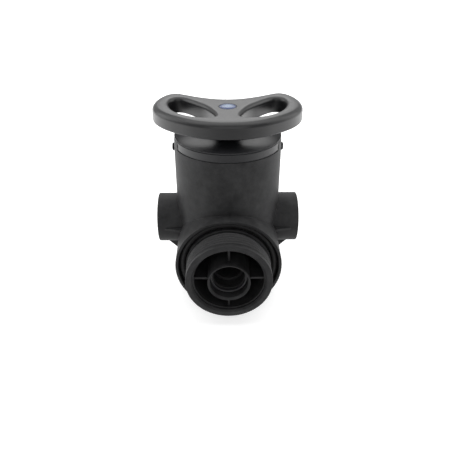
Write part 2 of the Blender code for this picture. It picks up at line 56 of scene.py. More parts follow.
def new_object(name, verts, faces, place=None):
    """Mesh object from millimetre points, put on an axis if asked."""
    pts = np.array(verts, dtype=float).reshape(-1, 3)
    if place:
        e1, e2, a = (np.array(v, dtype=float) for v in AXES[place[0]])
        pts = (pts[:, :1] * e1 + pts[:, 1:2] * e2 + pts[:, 2:3] * a
               + np.array(place[1], dtype=float))
    mesh = bpy.data.meshes.new(name)
    mesh.from_pydata([tuple(p) for p in pts * MM], [], faces)
    bm = bmesh.new()
    bm.from_mesh(mesh)
    bmesh.ops.recalc_face_normals(bm, faces=bm.faces)
    bm.to_mesh(mesh)
    bm.free()
    ob = bpy.data.objects.new(name, mesh)
    bpy.context.scene.collection.objects.link(ob)
    return ob


def arc(cx, cz, r, a0, a1, n):
    """Points of an arc in the profile plane, angles in degrees."""
    return [(cx + r * cos(radians(a0 + (a1 - a0) * i / n)),
             cz + r * sin(radians(a0 + (a1 - a0) * i / n)))
            for i in range(n + 1)]


def turned(name, profile, seg=128, place=None, loop=False):
    """Solid of revolution.  profile is (radius, height); with loop it is a
    closed ring section, else it starts and ends on the axis."""
    verts, rings = [], []
    for r, h in profile:
        if r < 1e-9:
            rings.append([len(verts)])
            verts.append((0, 0, h))
        else:
            rings.append(list(range(len(verts), len(verts) + seg)))
            verts += [(r * cos(2 * pi * k / seg), r * sin(2 * pi * k / seg), h)
                      for k in range(seg)]
    faces = []
    pairs = list(zip(rings[:-1], rings[1:])) + ([(rings[-1], rings[0])]
                                                if loop else [])
    for lo, hi in pairs:
        for k in range(seg):
            n = (k + 1) % seg
            if len(lo) == 1 and len(hi) == 1:
                continue
            if len(lo) == 1:
                faces.append((lo[0], hi[k], hi[n]))
            elif len(hi) == 1:
                faces.append((lo[k], lo[n], hi[0]))
            else:
                faces.append((lo[k], lo[n], hi[n], hi[k]))
    return new_object(name, verts, faces, place)


def prism(name, outline, h0, h1, place=None):
    """Flat outline extruded along the third axis."""
    n = len(outline)
    verts = [(x, y, h0) for x, y in outline] + [(x, y, h1) for x, y in outline]
    faces = [tuple(reversed(range(n))), tuple(range(n, 2 * n))]
    faces += [(i, (i + 1) % n, n + (i + 1) % n, n + i) for i in range(n)]
    return new_object(name, verts, faces, place)


def wedge(name, r0, r1, a0, a1, z0, z1, seg=24):
    out = [(r1 * cos(radians(a0 + (a1 - a0) * i / seg)),
            r1 * sin(radians(a0 + (a1 - a0) * i / seg)))
           for i in range(seg + 1)]
    back = [(r0 * cos(radians(a0 + (a1 - a0) * i / seg)),
             r0 * sin(radians(a0 + (a1 - a0) * i / seg)))
            for i in reversed(range(seg + 1))]
    return prism(name, out + back, z0, z1)


def box(name, size, centre, turn=0.0):
    ob = prism(name, [(-size[0] / 2, -size[1] / 2), (size[0] / 2, -size[1] / 2),
                      (size[0] / 2, size[1] / 2), (-size[0] / 2, size[1] / 2)],
               -size[2] / 2, size[2] / 2)
    c, s = cos(turn), sin(turn)
    for v in ob.data.vertices:
        x, y = v.co.x, v.co.y
        v.co.x, v.co.y = (c * x - s * y + centre[0] * MM,
                          s * x + c * y + centre[1] * MM)
        v.co.z += centre[2] * MM
    return ob


def boolean(ob, op, *others):
    for other in others:
        m = ob.modifiers.new("b", 'BOOLEAN')
        m.operation, m.object, m.solver = op, other, 'EXACT'
        w = ob.modifiers.new("w", 'WELD')
        w.merge_threshold = 4e-6
    bpy.context.view_layer.update()
    dg = bpy.context.evaluated_depsgraph_get()
    mesh = bpy.data.meshes.new_from_object(ob.evaluated_get(dg))
    old = ob.data
    ob.modifiers.clear()
    ob.data = mesh
    bpy.data.meshes.remove(old)
    for other in others:
        data = other.data
        bpy.data.objects.remove(other)
        bpy.data.meshes.remove(data)


def merge(name, *obs):
    """Several closed shapes kept as one piece."""
    bm = bmesh.new()
    for o in obs:
        bm.from_mesh(o.data)
    mesh = bpy.data.meshes.new(name)
    bm.to_mesh(mesh)
    bm.free()
    for o in obs:
        data = o.data
        bpy.data.objects.remove(o)
        bpy.data.meshes.remove(data)
    ob = bpy.data.objects.new(name, mesh)
    bpy.context.scene.collection.objects.link(ob)
    return ob


def shade(ob, angle=32):
    ob.data.shade_smooth()
    ob.data.set_sharp_from_angle(angle=radians(angle))


def helix_ridge(name, place, root, crest, pitch, s0, turns, crest_w, base_w,
                per=96, fade=0.3):
    """One thread ridge swept along a right-hand helix, run out at both ends."""
    sunk = root - 0.5 if crest > root else root + 0.5
    n = int(turns * per)
    verts, faces = [], []
    for i in range(n + 1):
        t = i / per
        k = min(1.0, t / fade, (turns - t) / fade)
        k = k * k * (3 - 2 * k)
        top = root + (crest - root) * k + (0 if k > 0 else 0)
        s = s0 + pitch * t
        a = 2 * pi * t
        b, c = base_w / 2, crest_w / 2 + (base_w - crest_w) / 2 * (1 - k) * 0.5
        soft = (crest - root) * 0.10 * k
        for r, d in ((sunk, -b), (root, -b), (top - soft, -c - 0.05),
                     (top, -c + 0.05), (top, c - 0.05), (top - soft, c + 0.05),
                     (root, b), (sunk, b)):
            verts.append((r * cos(a), r * sin(a), s + d))
    m = 8
    for i in range(n):
        for j in range(m):
            p, q = i * m + j, i * m + (j + 1) % m
            faces.append((p, q, q + m, p + m))
    faces.append(tuple(reversed(range(m))))
    faces.append(tuple(range(n * m, n * m + m)))
    return new_object(name, verts, faces, place)


# ------------------------------------------------------- implicit surfaces
def corner(u, v, r):
    """Rounded meeting of the two half spaces u < 0 and v < 0."""
    a, b = u + r, v + r
    return (np.minimum(np.maximum(a, b), 0)
            + np.hypot(np.maximum(a, 0), np.maximum(b, 0)) - r)


def smooth_min(a, b, k):
    h = np.clip(0.5 + 0.5 * (b - a) / k, 0, 1)
    return b + (a - b) * h - k * h * (1 - h)


def implicit(name, field, lo, hi, step):
    """Surface where field(x, y, z) changes sign, with the field's own
    normals.  Millimetres."""
    ax = [np.arange(lo[i], hi[i] + step, step) for i in range(3)]
    gx, gy, gz = np.meshgrid(*ax, indexing='ij')
    f = field(gx, gy, gz)
    inside = f < 0
    total = np.zeros(tuple(n - 1 for n in f.shape), dtype=np.int8)
    for i in (0, 1):
        for j in (0, 1):
            for k in (0, 1):
                total += inside[i:f.shape[0] - 1 + i, j:f.shape[1] - 1 + j,
                                k:f.shape[2] - 1 + k]
    cells = np.argwhere((total > 0) & (total < 8))
    index = np.full(total.shape, -1, dtype=np.int64)
    index[tuple(cells.T)] = np.arange(len(cells))
    acc, cnt = np.zeros((len(cells), 3)), np.zeros(len(cells))
    corners = [(i, j, k) for i in (0, 1) for j in (0, 1) for k in (0, 1)]
    val = {c: f[cells[:, 0] + c[0], cells[:, 1] + c[1], cells[:, 2] + c[2]]
           for c in corners}
    for c in corners:
        for d in range(3):
            if c[d] == 0:
                e = tuple(c[m] + (1 if m == d else 0) for m in range(3))
                a, b = val[c], val[e]
                hit = (a < 0) != (b < 0)
                t = np.where(hit, a / np.where(hit, a - b, 1), 0)
                p = np.repeat(np.array([c], dtype=float), len(cells), 0)
                p[:, d] += t
                acc[hit] += p[hit]
                cnt[hit] += 1
    pts = (cells + acc / cnt[:, None]) * step + np.array(
        [ax[0][0], ax[1][0], ax[2][0]])

    def gradient(p, e=0.08):
        g = np.zeros_like(p)
        for d in range(3):
            q = p.copy()
            q[:, d] += e
            r = p.copy()
            r[:, d] -= e
            g[:, d] = field(*q.T) - field(*r.T)
        return g / (2 * e)

    for _ in range(2):
        g = gradient(pts)
        n2 = np.maximum((g * g).sum(1), 0.25)
        move = -field(*pts.T)[:, None] * g / n2[:, None]
        length = np.linalg.norm(move, axis=1)
        move *= np.minimum(1, 0.4 * step / np.maximum(length, 1e-9))[:, None]
        pts += move
    faces = []
    for d in range(3):
        a, b = [slice(None)] * 3, [slice(None)] * 3
        a[d], b[d] = slice(0, -1), slice(1, None)
        va, vb = inside[tuple(a)], inside[tuple(b)]
        edges = np.argwhere(va != vb)
        o1, o2 = (d + 1) % 3, (d + 2) % 3
        ok = ((edges[:, o1] > 0) & (edges[:, o2] > 0)
              & (edges[:, o1] < total.shape[o1])
              & (edges[:, o2] < total.shape[o2]))
        edges = edges[ok]
        quad = []
        for s1, s2 in ((-1, -1), (0, -1), (0, 0), (-1, 0)):
            c = edges.copy()
            c[:, o1] += s1
            c[:, o2] += s2
            quad.append(index[tuple(c.T)])
        quad = np.stack(quad, 1)
        flip = ~va[tuple(edges.T)]
        quad[flip] = quad[flip][:, ::-1]
        faces.append(quad)
    faces = np.concatenate(faces)
    mesh = bpy.data.meshes.new(name)
    mesh.vertices.add(len(pts))
    mesh.vertices.foreach_set("co", (pts * MM).ravel())
    mesh.loops.add(faces.size)
    mesh.loops.foreach_set("vertex_index", faces.ravel().astype(np.int32))
    mesh.polygons.add(len(faces))
    mesh.polygons.foreach_set("loop_start",
                              np.arange(0, faces.size, 4, dtype=np.int32))
    mesh.update(calc_edges=True)
    mesh.validate()
    g = gradient(pts)
    g /= np.linalg.norm(g, axis=1)[:, None]
    mesh.shade_smooth()
    mesh.normals_split_custom_set_from_vertices([tuple(v) for v in g])
    ob = bpy.data.objects.new(name, mesh)
    bpy.context.scene.collection.objects.link(ob)
    return ob


# ---------------------------------------------------------------- materials
def nodes_of(name):
    mat = bpy.data.materials.new(name)
    mat.use_nodes = True
    tree = mat.node_tree
    tree.nodes.clear()
    out = tree.nodes.new("ShaderNodeOutputMaterial")
    bsdf = tree.nodes.new("ShaderNodeBsdfPrincipled")
    tree.links.new(bsdf.outputs[0], out.inputs[0])
    return mat, tree, bsdf


def math_node(tree, op, a, b=None, clamp=False):
    n = tree.nodes.new("ShaderNodeMath")
    n.operation = op
    n.use_clamp = clamp
    for i, v in enumerate((a, b)):
        if v is None:
            continue
        if isinstance(v, (int, float)):
            n.inputs[i].default_value = v
        else:
            tree.links.new(v, n.inputs[i])
    return n.outputs[0]


def noise(tree, coord, scale, detail=3.0, rough=0.55, stretch=None):
    if stretch:
        m = tree.nodes.new("ShaderNodeMapping")
        m.inputs["Scale"].default_value = stretch
        tree.links.new(coord, m.inputs["Vector"])
        coord = m.outputs[0]
    n = tree.nodes.new("ShaderNodeTexNoise")
    n.inputs["Scale"].default_value = scale
    n.inputs["Detail"].default_value = detail
    n.inputs["Roughness"].default_value = rough
    tree.links.new(coord, n.inputs["Vector"])
    return n.outputs["Fac"]


def ramp(tree, fac, lo, hi, out_lo, out_hi):
    n = tree.nodes.new("ShaderNodeMapRange")
    n.inputs["From Min"].default_value = lo
    n.inputs["From Max"].default_value = hi
    n.inputs["To Min"].default_value = out_lo
    n.inputs["To Max"].default_value = out_hi
    tree.links.new(fac, n.inputs["Value"])
    return n.outputs["Result"]


def mix_colour(tree, fac, a, b):
    n = tree.nodes.new("ShaderNodeMix")
    n.data_type = 'RGBA'
    for sock, v in ((n.inputs[0], fac), (n.inputs[6], a), (n.inputs[7], b)):
        if isinstance(v, (tuple, list)):
            sock.default_value = (*v, 1.0)
        elif isinstance(v, (int, float)):
            sock.default_value = v
        else:
            tree.links.new(v, sock)
    return n.outputs[2]


def plastic(name, dark, light, rough, grain=0.35, grain_size=0.45, mottle=0.5,
            edge=None, edge_radius=0.5, spec=0.5, coat=0.0, edge_amount=0.6,
            wave=0.0):
    """Moulded plastic: fine spark-eroded grain, flow mottling, edges that are
    rounded and painted a little lighter as a painted highlight, and patchy sheen."""
    mat, tree, bsdf = nodes_of(name)
    link = tree.links.new
    coord = tree.nodes.new("ShaderNodeTexCoord").outputs["Object"]
    fine = noise(tree, coord, 1.0 / (grain_size * MM), 2.0, 0.6)
    mid = noise(tree, coord, 120.0, 4.0, 0.62)
    flow = noise(tree, coord, 60.0, 3.0, 0.55, (1.0, 1.0, 0.35))
    patch = math_node(tree, 'ADD', math_node(tree, 'MULTIPLY', mid, 0.6),
                      math_node(tree, 'MULTIPLY', flow, 0.4))
    blotch = ramp(tree, patch, 0.36, 0.64, 0.0, 1.0)
    colour = mix_colour(tree, math_node(tree, 'MULTIPLY', blotch, mottle),
                        dark, light)
    speck = ramp(tree, fine, 0.62, 0.80, 0.0, 0.35)
    colour = mix_colour(tree, speck, colour, tuple(c * 1.9 for c in light))
    bevel = tree.nodes.new("ShaderNodeBevel")
    bevel.samples = 6
    bevel.inputs["Radius"].default_value = edge_radius * MM
    geo = tree.nodes.new("ShaderNodeNewGeometry")
    dot = tree.nodes.new("ShaderNodeVectorMath")
    dot.operation = 'DOT_PRODUCT'
    link(bevel.outputs[0], dot.inputs[0])
    link(geo.outputs["Normal"], dot.inputs[1])
    # painted highlight: edges, where the bevelled normal turns from the true one,
    # are marked for a lighter colour and a little less roughness
    edge_highlight_mask = ramp(tree, dot.outputs["Value"], 0.985, 0.80, 0.0, 1.0)
    breakup = ramp(tree, noise(tree, coord, 420.0, 4.0, 0.7), 0.35, 0.62,
                   0.25, 1.0)
    edge_highlight_mask = math_node(tree, 'MULTIPLY', edge_highlight_mask, breakup, True)
    # lighten the marked edges towards the edge colour as a painted highlight
    if edge:
        colour = mix_colour(tree,
                            math_node(tree, 'MULTIPLY', edge_highlight_mask, edge_amount),
                            colour, edge)
    link(colour, bsdf.inputs["Base Color"])
    r = math_node(tree, 'ADD', rough - 0.05,
                  math_node(tree, 'MULTIPLY', patch, 0.10))
    r = math_node(tree, 'SUBTRACT', r, math_node(tree, 'MULTIPLY', edge_highlight_mask, 0.10),
                  True)
    link(r, bsdf.inputs["Roughness"])
    bsdf.inputs["Specular IOR Level"].default_value = spec
    bsdf.inputs["IOR"].default_value = 1.5
    if coat:
        bsdf.inputs["Coat Weight"].default_value = coat
        bsdf.inputs["Coat Roughness"].default_value = 0.12
    bump = tree.nodes.new("ShaderNodeBump")
    bump.inputs["Strength"].default_value = grain
    bump.inputs["Distance"].default_value = 0.00006
    link(fine, bump.inputs["Height"])
    link(bevel.outputs[0], bump.inputs["Normal"])
    last = bump
    if wave:
        swell = tree.nodes.new("ShaderNodeBump")
        swell.inputs["Strength"].default_value = wave
        swell.inputs["Distance"].default_value = 0.0004
        link(noise(tree, coord, 45.0, 2.0, 0.45), swell.inputs["Height"])
        link(bump.outputs[0], swell.inputs["Normal"])
        last = swell
    link(last.outputs[0], bsdf.inputs["Normal"])
    return mat


def metal(name, colour, rough, brushed=0.25, fine=900.0):
    mat, tree, bsdf = nodes_of(name)
    coord = tree.nodes.new("ShaderNodeTexCoord").outputs["Object"]
    lines = noise(tree, coord, fine, 4.0, 0.7, (1.0, 1.0, 6.0))
    stain = noise(tree, coord, 160.0, 4.0, 0.6)
    tree.links.new(mix_colour(tree, ramp(tree, stain, 0.3, 0.7, 0.0, 0.5),
                              colour, tuple(c * 0.72 for c in colour)),
                   bsdf.inputs["Base Color"])
    tree.links.new(math_node(tree, 'ADD', rough,
                             math_node(tree, 'MULTIPLY', lines, 0.16)),
                   bsdf.inputs["Roughness"])
    bsdf.inputs["Metallic"].default_value = 1.0
    bump = tree.nodes.new("ShaderNodeBump")
    bump.inputs["Strength"].default_value = brushed
    bump.inputs["Distance"].default_value = 0.00003
    tree.links.new(lines, bump.inputs["Height"])
    tree.links.new(bump.outputs[0], bsdf.inputs["Normal"])
    return mat


def ceramic(name):
    mat, tree, bsdf = nodes_of(name)
    coord = tree.nodes.new("ShaderNodeTexCoord").outputs["Object"]
    fleck = noise(tree, coord, 700.0, 4.0, 0.6)
    tree.links.new(mix_colour(tree, ramp(tree, fleck, 0.35, 0.65, 0.0, 1.0),
                              (0.80, 0.78, 0.72), (0.88, 0.87, 0.83)),
                   bsdf.inputs["Base Color"])
    tree.links.new(ramp(tree, fleck, 0.3, 0.7, 0.16, 0.30),
                   bsdf.inputs["Roughness"])
    bump = tree.nodes.new("ShaderNodeBump")
    bump.inputs["Strength"].default_value = 0.12
    bump.inputs["Distance"].default_value = 0.00002
    tree.links.new(fleck, bump.inputs["Height"])
    tree.links.new(bump.outputs[0], bsdf.inputs["Normal"])
    return mat


def badge_face(name):
    """Clear-domed enamel, pale in the middle and deeper at the rim."""
    mat, tree, bsdf = nodes_of(name)
    coord = tree.nodes.new("ShaderNodeTexCoord").outputs["Object"]
    sep = tree.nodes.new("ShaderNodeSeparateXYZ")
    tree.links.new(coord, sep.inputs[0])
    x2 = math_node(tree, 'MULTIPLY', sep.outputs[0], sep.outputs[0])
    y2 = math_node(tree, 'MULTIPLY', sep.outputs[1], sep.outputs[1])
    rad = math_node(tree, 'SQRT', math_node(tree, 'ADD', x2, y2))
    cloud = noise(tree, coord, 900.0, 3.0, 0.5)
    k = ramp(tree, rad, 0.0018, 0.0058, 0.0, 1.0)
    k = math_node(tree, 'ADD', k, ramp(tree, cloud, 0.3, 0.7, -0.08, 0.08), True)
    tree.links.new(mix_colour(tree, k, (0.13, 0.18, 0.26),
                              (0.012, 0.03, 0.11)), bsdf.inputs["Base Color"])
    tree.links.new(ramp(tree, cloud, 0.3, 0.7, 0.22, 0.34),
                   bsdf.inputs["Roughness"])
    bsdf.inputs["Specular IOR Level"].default_value = 0.25
    bsdf.inputs["Coat Weight"].default_value = 0.12
    bsdf.inputs["Coat Roughness"].default_value = 0.10
    return mat


BODY_MAT = plastic("moulded_body", (0.0095, 0.0095, 0.0100),
                   (0.0240, 0.0240, 0.0247), 0.56, grain=0.68,
                   grain_size=0.50, mottle=1.0, edge=(0.050, 0.050, 0.051),
                   edge_radius=0.55, spec=0.20)
# the body plastic again with a lighter base colour: painted light, so the tank and
# port threads read brighter than the body
THREAD_PAINTED_LIGHTER_MAT = plastic("moulded_thread", (0.0230, 0.0230, 0.0236),
                     (0.0340, 0.0340, 0.0346), 0.46, grain=0.25,
                     grain_size=0.40, mottle=0.6, edge=(0.045, 0.045, 0.046),
                     edge_radius=0.25, spec=0.45)
BONNET_MAT = plastic("moulded_bonnet", (0.0085, 0.0087, 0.0099),
                     (0.0150, 0.0152, 0.0166), 0.35, grain=0.12,
                     grain_size=0.35, mottle=0.4, edge=(0.040, 0.041, 0.044),
                     edge_radius=0.45, spec=0.36, wave=0.08)
HANDLE_MAT = plastic("moulded_handle", (0.0090, 0.0090, 0.0096),
                     (0.0135, 0.0135, 0.0141), 0.34, grain=0.18,
                     grain_size=0.35, mottle=0.5, edge=(0.040, 0.040, 0.041),
                     edge_radius=0.4, spec=0.42, wave=0.12)
STEM_MAT = plastic("moulded_stem", (0.020, 0.020, 0.022),
                   (0.030, 0.030, 0.032), 0.42, grain=0.2, mottle=0.4,
                   edge=(0.07, 0.07, 0.07), edge_radius=0.3)
RUBBER_MAT = plastic("seal_rubber", (0.0060, 0.0060, 0.0062),
                     (0.0100, 0.0100, 0.0102), 0.62, grain=0.4,
                     grain_size=0.30, mottle=0.6, edge=(0.02, 0.02, 0.02),
                     edge_radius=0.2, spec=0.30)
BLUE_MAT = plastic("blue_acetal", (0.020, 0.085, 0.42), (0.030, 0.11, 0.50),
                   0.34, grain=0.15, mottle=0.5, edge=(0.10, 0.22, 0.62),
                   edge_radius=0.3, spec=0.5)
WHITE_MAT = plastic("white_acetal", (0.70, 0.70, 0.67), (0.80, 0.80, 0.78),
                    0.38, grain=0.15, mottle=0.5, edge=(0.85, 0.85, 0.84),
                    edge_radius=0.3)
STEEL_MAT = metal("bright_steel", (0.60, 0.60, 0.61), 0.18)
BLACK_STEEL = metal("black_oxide_steel", (0.010, 0.010, 0.012), 0.42, 0.3)
CERAMIC_MAT = ceramic("lapped_ceramic")
BADGE_MAT = badge_face("badge_enamel")
RIM_MAT = metal("badge_rim_metal", (0.035, 0.045, 0.075), 0.30, 0.15)


def dress(ob, mat, body, slot, *replaced):
    ob.data.materials.clear()
    ob.data.materials.append(mat)
    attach(ob, body)
    if replaced:
        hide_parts(*replaced)
    return ob


# --------------------------------------------------------------- valve body
BODY_R, BODY_TOP, LOCK_Z = 46.0, 140.7, 136.7
body = turned("body_casting", [(0, BODY_TOP)]
              + [(45.7, BODY_TOP)] + arc(45.75, BODY_TOP - 0.25, 0.25, 90, 0, 4)[1:]
              + [(46, 120), (46, 100), (46, 80), (46, 60), (46, 40), (46, 20)]
              + [(46, 1.6)] + arc(44.4, 1.6, 1.6, 0, -90, 6)[1:] + [(0, 0)],
              168)


def swept(name, section, a0, a1, steps):
    """Part of a turned shape between two angles, closed at both ends."""
    n, verts, faces = len(section), [], []
    for i in range(steps + 1):
        a = radians(a0 + (a1 - a0) * i / steps)
        verts += [(r * cos(a), r * sin(a), z) for r, z in section]
    for i in range(steps):
        p, q = i * n, (i + 1) * n
        faces += [(p + j, p + (j + 1) % n, q + (j + 1) % n, q + j)
                  for j in range(n)]
    faces += [tuple(range(n)), tuple(range(steps * n, steps * n + n))]
    return new_object(name, verts, faces)


PAD = [(39.0, 139.0), (39.0, 147.9), (44.4, 147.9), (44.95, 147.75),
       (45.3, 147.3), (45.6, 146.3), (45.8, 145.0), (45.85, 143.5),
       (45.85, 139.0)]
pads = [swept("pad_l", PAD, 180 - 24.6, 180 + 24.6, 28),
        swept("pad_r", PAD, -24.6, 24.6, 28)]
neck_boss = turned("neck_boss", [
    (0, 76.9), (35.6, 76.9)] + arc(35.6, 76.3, 0.6, 90, 0, 4)[1:] + [
    (36.2, 73.4), (36.0, 73.1), (34.3, 71.6), (34.3, 55.0), (34.6, 54.4),
    (36.4, 54.4), (36.8, 54.0), (36.8, 47.6), (37.4, 47.0), (42.6, 47.0),
    (43.2, 47.6), (43.2, 54.8), (43.5, 55.1)]
    + arc(45.3, 54.6, 0.5, 90, 0, 4) + [(45.8, 12.0), (0, 12.0)], 160, NECK)
bosses = []
for key, place in PORTS.items():
    bosses.append(turned("boss_" + key, [(0, 63.35)]
                         + arc(21.5, 62.45, 0.9, 90, 0, 5)
                         + [(22.4, 30.0), (0, 30.0)], 112, place))
gussets = []
for side in (-1, 1):
    gussets.append(prism("fin%d" % side, [
        (side * 56.5, -20.5), (side * 56.5, -22.6), (side * 55.6, -23.1),
        (side * 38.0, -27.4), (side * 38.0, -20.5)], 66.4 - 0.9, 66.4 + 0.9))
    web = [(side * 60.4, 51.4), (side * 60.4, 44.4), (side * 46.0, 30.4),
           (side * 42.0, 30.4), (side * 42.0, 51.4)]
    gussets.append(new_object(
        "web%d" % side,
        [(x, -1.1, z) for x, z in web] + [(x, 1.1, z) for x, z in web],
        [tuple(range(5)), tuple(range(5, 10))]
        + [(i, (i + 1) % 5, 5 + (i + 1) % 5, 5 + i) for i in range(5)]))
boolean(body, 'UNION', *pads, neck_boss, *bosses, *gussets)
boolean(body, 'DIFFERENCE',
        turned("chamber", [(0, 152), (41, 152), (41, 5), (0, 5)], 120),
        turned("neck_bore", [
            (0, 79.5), (34.4, 79.5), (31.8, 76.9), (30.3, 75.2), (30.3, 73.2),
            (29.3, 73.0), (29.3, 33.0), (0, 33.0)], 144, NECK),
        *[turned("bore_" + key, [
            (0, 66.0), (20.9, 66.0), (18.25, 63.35), (16.75, 62.0),
            (16.75, 45.0), (15.2, 43.5), (15.2, 36.0), (0, 36.0)], 96, place)
          for key, place in PORTS.items()])
boolean(body, 'UNION',
        turned("deck", [(0, 101), (30.8, 101), (30.8, 107), (33.2, 107),
                        (33.2, 101), (42.5, 101), (42.5, 96), (0, 96)], 96),
        box("wall_a", (85.0, 3.0, 92.5), (0, 0, 50.5), pi / 4),
        box("wall_b", (85.0, 3.0, 92.5), (0, 0, 50.5), -pi / 4),
        turned("elbow", [(0, 98.5), (14.2, 98.5), (14.2, 36), (0, 36)], 48),
        turned("socket", [(0, 78.0), (17.3, 78.0)]
               + arc(17.3, 77.5, 0.5, 90, 0, 3)[1:]
               + [(17.8, -6.0), (0, -6.0)], 112, NECK),
        box("rib_flat", (59.8, 31.4, 1.8), (0, -54.7, 48.0)),
        box("rib_up", (1.8, 31.4, 59.8), (0, -54.7, 48.0)))
boolean(body, 'DIFFERENCE',
        turned("riser_bore", [
            (0, 79.5), (18.9, 79.5), (17.4, 78.0), (15.8, 76.4),
            (15.8, 64.0), (13.8, 64.0), (13.8, 54.8), (12.0, 54.8),
            (12.0, -3.0), (0, -3.0)], 112, NECK),
        turned("elbow_bore", [(0, 103), (10.5, 103), (10.5, 43), (0, 43)], 44),
        wedge("w_tank", 15.0, 27.5, 235, 305, 94.0, 103.0),
        wedge("w_out", 15.0, 27.5, -25, 25, 94.0, 103.0),
        wedge("w_drain", 15.0, 27.5, 65, 115, 94.0, 103.0),
        wedge("w_in", 34.6, 40.2, 146, 214, 94.0, 103.0),
        turned("lock_l", [(0, 50), (2.6, 50), (2.6, 36), (0, 36)], 32,
               ('-X', (0, 0, LOCK_Z))),
        turned("lock_r", [(0, 50), (2.6, 50), (2.6, 36), (0, 36)], 32,
               ('X', (0, 0, LOCK_Z))))
shade(body, 30)
dress(body, BODY_MAT, VALVE, "body_plastic", "valve_body")

# tank thread, 2.5 in 8 turns per inch, right hand
thread = helix_ridge("neck_thread", NECK, 34.25, 36.2, 3.175, 56.6, 5.15,
                     0.42, 2.5, 120, 0.28)
shade(thread, 40)
dress(thread, THREAD_PAINTED_LIGHTER_MAT, VALVE, "body_plastic")
for key, place in PORTS.items():
    ridge = helix_ridge("port_thread_" + key, place, 16.75, 15.2, 2.309,
                        46.2, 6.6, 0.35, 2.0, 64, 0.3)
    shade(ridge, 40)
    dress(ridge, THREAD_PAINTED_LIGHTER_MAT, VALVE, "body_plastic")

# ------------------------------------------------------------------- bonnet
seam, dome_z = 148.2, 153.4
profile = ([(10.0, dome_z - 0.3), (10.3, dome_z)]
           + [(16.0 + 29.2 * q, dome_z - 4.65 * q ** 1.5) for q in
              (0.0, 0.08, 0.16, 0.25, 0.35, 0.45, 0.55, 0.65, 0.75, 0.85,
               0.93, 1.0)]
           + arc(45.11, 148.38, 0.39, 76, 0, 5)
           + [(45.5, 148.14), (45.4, 148.04), (44.6, 148.02),
              (44.6, 147.45), (45.4, 147.42), (45.5, 147.3),
              (45.5, 141.2), (45.35, 141.0), (40.7, 141.0),
              (40.7, 132.6), (37.0, 132.6), (37.0, 128.4), (40.7, 128.4),
              (40.7, 126.4), (39.9, 125.6), (34.2, 125.6), (34.2, 147.0),
              (16.5, 147.0), (16.5, 124.3), (10.0, 124.3)])
bonnet = turned("bonnet_cover", profile, 192, None, True)
inner = [box("br%d" % i, (70.0, 2.4, 18.0), (0, 0, 139.5), radians(a))
         for i, a in enumerate((30, 90, 150))]
for side in (-1, 1):
    b = turned("db%d" % side, [(0, 148), (5.4, 148), (5.4, 125.6),
                               (0, 125.6)], 32, ('Z', (side * 24.0, 0, 0)))
    inner.append(b)
for side in (-1, 1):
    mid = 90 + side * 67.2
    inner.append(wedge("rail%d" % side, 30.6, 35.4, mid - 3, mid + 3, 118.4,
                       126.5, 6))
boolean(bonnet, 'UNION', *inner)
cuts = [turned("shaft", [(0, 160), (10.0, 160), (10.0, 120), (0, 120)], 64)]
for side in (-1, 1):
    cuts.append(turned("dp%d" % side, [(0, 140), (3.35, 140), (3.35, 123),
                                       (0, 123)], 32,
                       ('Z', (side * 24.0, 0, 0))))
    cuts.append(wedge("pn%d" % side, 40.85, 47.5, 90 - side * 90 - 24.8,
                      90 - side * 90 + 24.8, 139.7, 148.0, 24))
    cuts.append(turned("lt%d" % side, [(0, 44), (2.6, 44), (2.6, 35), (0, 35)],
                       24, ('X' if side > 0 else '-X', (0, 0, LOCK_Z))))
boolean(bonnet, 'DIFFERENCE', *cuts)
shade(bonnet, 28)
dress(bonnet, BONNET_MAT, VALVE, "bonnet_plastic", "bonnet")

# ---------------------------------------------------------- lock screws
for side, axis, tag in ((-1, '-X', "left"), (1, 'X', "right")):
    place = (axis, (0, 0, LOCK_Z))
    screw = turned("lock_set_screw_" + tag, [
        (0, 47.7), (2.6, 47.7), (3.0, 47.55), (3.3, 47.2), (3.4, 46.8),
        (3.4, 46.4), (2.3, 46.4), (2.3, 38.6), (1.7, 38.0), (0, 38.0)], 48,
        place)
    key = prism("key" + tag, [(1.5 * cos(radians(60 * i)),
                               1.5 * sin(radians(60 * i))) for i in range(6)],
                46.0, 49.5, place)
    boolean(screw, 'DIFFERENCE', key)
    shade(screw, 30)
    dress(screw, BLACK_STEEL, VALVE, "black_steel", "lock_screw_" + tag)

# ---------------------------------------------------------- rings and washers


def ring(name, major, minor, place, mat, body_name, slot_name, node, seg=160,
         tube=24):
    ob = turned(name, [(major + minor * cos(2 * pi * i / tube),
                        place[2] + minor * sin(2 * pi * i / tube))
                       for i in range(tube)], seg, place[:2], True)
    ob.data.shade_smooth()
    return dress(ob, mat, body_name, slot_name, node)


ring("tank_seal_ring", 39.75, 2.6, (*NECK, 49.95), RUBBER_MAT, VALVE,
     "seal_rubber", "neck_oring", 180, 24)
ring("riser_seal_ring", 14.25, 1.3, (*NECK, 65.7), RUBBER_MAT, VALVE,
     "seal_rubber", "riser_oring", 96, 16)
ring("bonnet_seal_ring", 39.0, 1.75, ('Z', (0, 0, 0), 130.5), RUBBER_MAT,
     VALVE, "seal_rubber", "bonnet_oring", 140, 16)
ring("stem_seal_ring_lower", 8.5, 1.15, ('Z', (0, 0, 0), 132.9), RUBBER_MAT,
     ROTOR, "seal_rubber", "stem_oring_lower", 72, 16)
ring("stem_seal_ring_upper", 8.5, 1.15, ('Z', (0, 0, 0), 140.7), RUBBER_MAT,
     ROTOR, "seal_rubber", "stem_oring_upper", 72, 16)

retainer = turned("riser_retainer", [
    (13.8, 67.7), (13.8, 70.0), (14.2, 70.4), (15.1, 70.4), (15.5, 70.0),
    (15.5, 67.5), (14.0, 67.5)], 112, NECK, True)
shade(retainer, 30)
dress(retainer, STEM_MAT, VALVE, "stem_plastic", "riser_retaining_ring")

